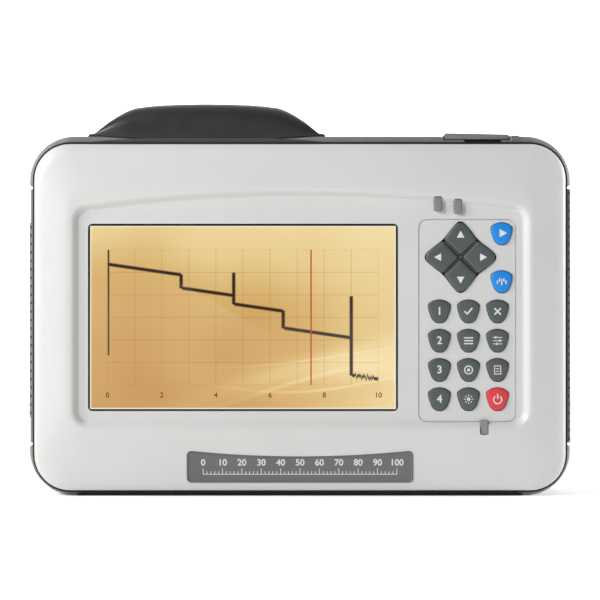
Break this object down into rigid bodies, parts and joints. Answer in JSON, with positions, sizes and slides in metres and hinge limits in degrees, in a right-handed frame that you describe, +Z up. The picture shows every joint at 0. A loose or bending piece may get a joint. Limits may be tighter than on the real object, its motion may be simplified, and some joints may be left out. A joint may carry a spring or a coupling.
{
  "type": "optical time domain reflectometer",
  "caption": "Handheld optical time domain reflectometer in a grey and white case, with a colour screen, keypad, top handle, flap over its fibre ports, and a stand at the back.",
  "frame": {"origin": "middle of the footprint, on the surface that the case stands on", "axes": "+X to the right of the front face, +Y from the front to the back, +Z up"},
  "size_m": [0.253, 0.0736, 0.1836],
  "materials": {
    "white_shell": "fine satin moulded plastic, off-white",
    "grey_shell": "fine textured moulded plastic, mid grey",
    "grey_rubber": "soft grey rubber",
    "handle_rubber": "soft black grip, matt",
    "black_rubber": "matt black rubber",
    "screen_glass": "anti-glare window over the lit display",
    "display_panel": "lit display picture",
    "key_grey": "satin dark grey key caps with pale legends",
    "key_blue": "satin blue key caps",
    "key_red": "satin red key cap",
    "lens_grey": "smoked light-pipe lens",
    "plate_grey": "satin grey plate, blank",
    "stand_black": "dark moulded plastic",
    "bright_metal": "plain metal",
    "dark_steel": "blackened steel",
    "port_metal": "nickel plated",
    "circuit_green": "green solder mask",
    "fibre_yellow": "yellow fibre jacket",
    "cable_orange": "flexible flat cable",
    "battery_wrap": "shrink-wrapped cells"
  },
  "bodies": {
    "case": {"front_cover": "white_shell", "rear_shell": "grey_shell", "case_gasket": "black_rubber", "corner_guard_top_left": "grey_rubber", "corner_guard_top_right": "grey_rubber", "corner_guard_bottom_left": "grey_rubber", "corner_guard_bottom_right": "grey_rubber", "side_grip_left": "grey_rubber", "side_grip_right": "grey_rubber", "handle_grip": "handle_rubber", "handle_screws": "dark_steel", "case_screws": "dark_steel", "screen_window": "screen_glass", "display_module": "display_panel", "display_bracket": "bright_metal", "keypad_board": "circuit_green", "key_domes": "bright_metal", "indicator_lenses": "lens_grey", "name_plate": "plate_grey", "flap_pin": "bright_metal", "fibre_port": "port_metal", "laser_port": "port_metal", "test_module": "bright_metal", "fault_laser": "port_metal", "fibre_pigtail": "fibre_yellow", "main_board": "circuit_green", "board_modules": "bright_metal", "display_cable": "cable_orange", "keypad_cable": "cable_orange", "battery_pack": "battery_wrap", "battery_lid": "grey_shell", "lid_screws": "dark_steel", "stand_pin": "bright_metal", "door_pin": "bright_metal", "network_socket": "port_metal", "usb_socket": "port_metal", "power_inlet": "stand_black"},
    "grid_key_1a": {"grid_key_1a": "key_grey"},
    "grid_key_1b": {"grid_key_1b": "key_grey"},
    "grid_key_1c": {"grid_key_1c": "key_grey"},
    "grid_key_2a": {"grid_key_2a": "key_grey"},
    "grid_key_2b": {"grid_key_2b": "key_grey"},
    "grid_key_2c": {"grid_key_2c": "key_grey"},
    "grid_key_3a": {"grid_key_3a": "key_grey"},
    "grid_key_3b": {"grid_key_3b": "key_grey"},
    "grid_key_3c": {"grid_key_3c": "key_grey"},
    "grid_key_4a": {"grid_key_4a": "key_grey"},
    "grid_key_4b": {"grid_key_4b": "key_grey"},
    "grid_key_4c": {"grid_key_4c": "key_red"},
    "start_key": {"start_key": "key_blue"},
    "live_key": {"live_key": "key_blue"},
    "arrow_up": {"arrow_up": "key_grey"},
    "arrow_right": {"arrow_right": "key_grey"},
    "arrow_down": {"arrow_down": "key_grey"},
    "arrow_left": {"arrow_left": "key_grey"},
    "port_flap": {"port_flap": "black_rubber"},
    "kickstand": {"kickstand": "stand_black"},
    "port_door": {"port_door": "black_rubber"}
  },
  "joints": [
    {"name": "grid_key_1a_press", "type": "slide", "parent": "case", "child": "grid_key_1a", "axis": [0, 1, 0], "range_m": [0, 0.001], "stiffness_N_per_m": 1200, "springref_m": -0.0005},
    {"name": "grid_key_1b_press", "type": "slide", "parent": "case", "child": "grid_key_1b", "axis": [0, 1, 0], "range_m": [0, 0.001], "stiffness_N_per_m": 1200, "springref_m": -0.0005},
    {"name": "grid_key_1c_press", "type": "slide", "parent": "case", "child": "grid_key_1c", "axis": [0, 1, 0], "range_m": [0, 0.001], "stiffness_N_per_m": 1200, "springref_m": -0.0005},
    {"name": "grid_key_2a_press", "type": "slide", "parent": "case", "child": "grid_key_2a", "axis": [0, 1, 0], "range_m": [0, 0.001], "stiffness_N_per_m": 1200, "springref_m": -0.0005},
    {"name": "grid_key_2b_press", "type": "slide", "parent": "case", "child": "grid_key_2b", "axis": [0, 1, 0], "range_m": [0, 0.001], "stiffness_N_per_m": 1200, "springref_m": -0.0005},
    {"name": "grid_key_2c_press", "type": "slide", "parent": "case", "child": "grid_key_2c", "axis": [0, 1, 0], "range_m": [0, 0.001], "stiffness_N_per_m": 1200, "springref_m": -0.0005},
    {"name": "grid_key_3a_press", "type": "slide", "parent": "case", "child": "grid_key_3a", "axis": [0, 1, 0], "range_m": [0, 0.001], "stiffness_N_per_m": 1200, "springref_m": -0.0005},
    {"name": "grid_key_3b_press", "type": "slide", "parent": "case", "child": "grid_key_3b", "axis": [0, 1, 0], "range_m": [0, 0.001], "stiffness_N_per_m": 1200, "springref_m": -0.0005},
    {"name": "grid_key_3c_press", "type": "slide", "parent": "case", "child": "grid_key_3c", "axis": [0, 1, 0], "range_m": [0, 0.001], "stiffness_N_per_m": 1200, "springref_m": -0.0005},
    {"name": "grid_key_4a_press", "type": "slide", "parent": "case", "child": "grid_key_4a", "axis": [0, 1, 0], "range_m": [0, 0.001], "stiffness_N_per_m": 1200, "springref_m": -0.0005},
    {"name": "grid_key_4b_press", "type": "slide", "parent": "case", "child": "grid_key_4b", "axis": [0, 1, 0], "range_m": [0, 0.001], "stiffness_N_per_m": 1200, "springref_m": -0.0005},
    {"name": "grid_key_4c_press", "type": "slide", "parent": "case", "child": "grid_key_4c", "axis": [0, 1, 0], "range_m": [0, 0.001], "stiffness_N_per_m": 1200, "springref_m": -0.0005},
    {"name": "start_key_press", "type": "slide", "parent": "case", "child": "start_key", "axis": [0, 1, 0], "range_m": [0, 0.001], "stiffness_N_per_m": 1200, "springref_m": -0.0005},
    {"name": "live_key_press", "type": "slide", "parent": "case", "child": "live_key", "axis": [0, 1, 0], "range_m": [0, 0.001], "stiffness_N_per_m": 1200, "springref_m": -0.0005},
    {"name": "arrow_up_press", "type": "slide", "parent": "case", "child": "arrow_up", "axis": [0, 1, 0], "range_m": [0, 0.001], "stiffness_N_per_m": 1200, "springref_m": -0.0005},
    {"name": "arrow_right_press", "type": "slide", "parent": "case", "child": "arrow_right", "axis": [0, 1, 0], "range_m": [0, 0.001], "stiffness_N_per_m": 1200, "springref_m": -0.0005},
    {"name": "arrow_down_press", "type": "slide", "parent": "case", "child": "arrow_down", "axis": [0, 1, 0], "range_m": [0, 0.001], "stiffness_N_per_m": 1200, "springref_m": -0.0005},
    {"name": "arrow_left_press", "type": "slide", "parent": "case", "child": "arrow_left", "axis": [0, 1, 0], "range_m": [0, 0.001], "stiffness_N_per_m": 1200, "springref_m": -0.0005},
    {"name": "port_flap_hinge", "type": "hinge", "parent": "case", "child": "port_flap", "pos_m": [0.1002, 0.002, 0.167], "axis": [0, 1, 0], "range_deg": [0, 100]},
    {"name": "kickstand_hinge", "type": "hinge", "parent": "case", "child": "kickstand", "pos_m": [0, 0.0333, 0.078], "axis": [1, 0, 0], "range_deg": [0, 60]},
    {"name": "port_door_hinge", "type": "hinge", "parent": "case", "child": "port_door", "pos_m": [-0.1225, 0.0272, 0.084], "axis": [0, 0, -1], "range_deg": [0, 90]}
  ]
}
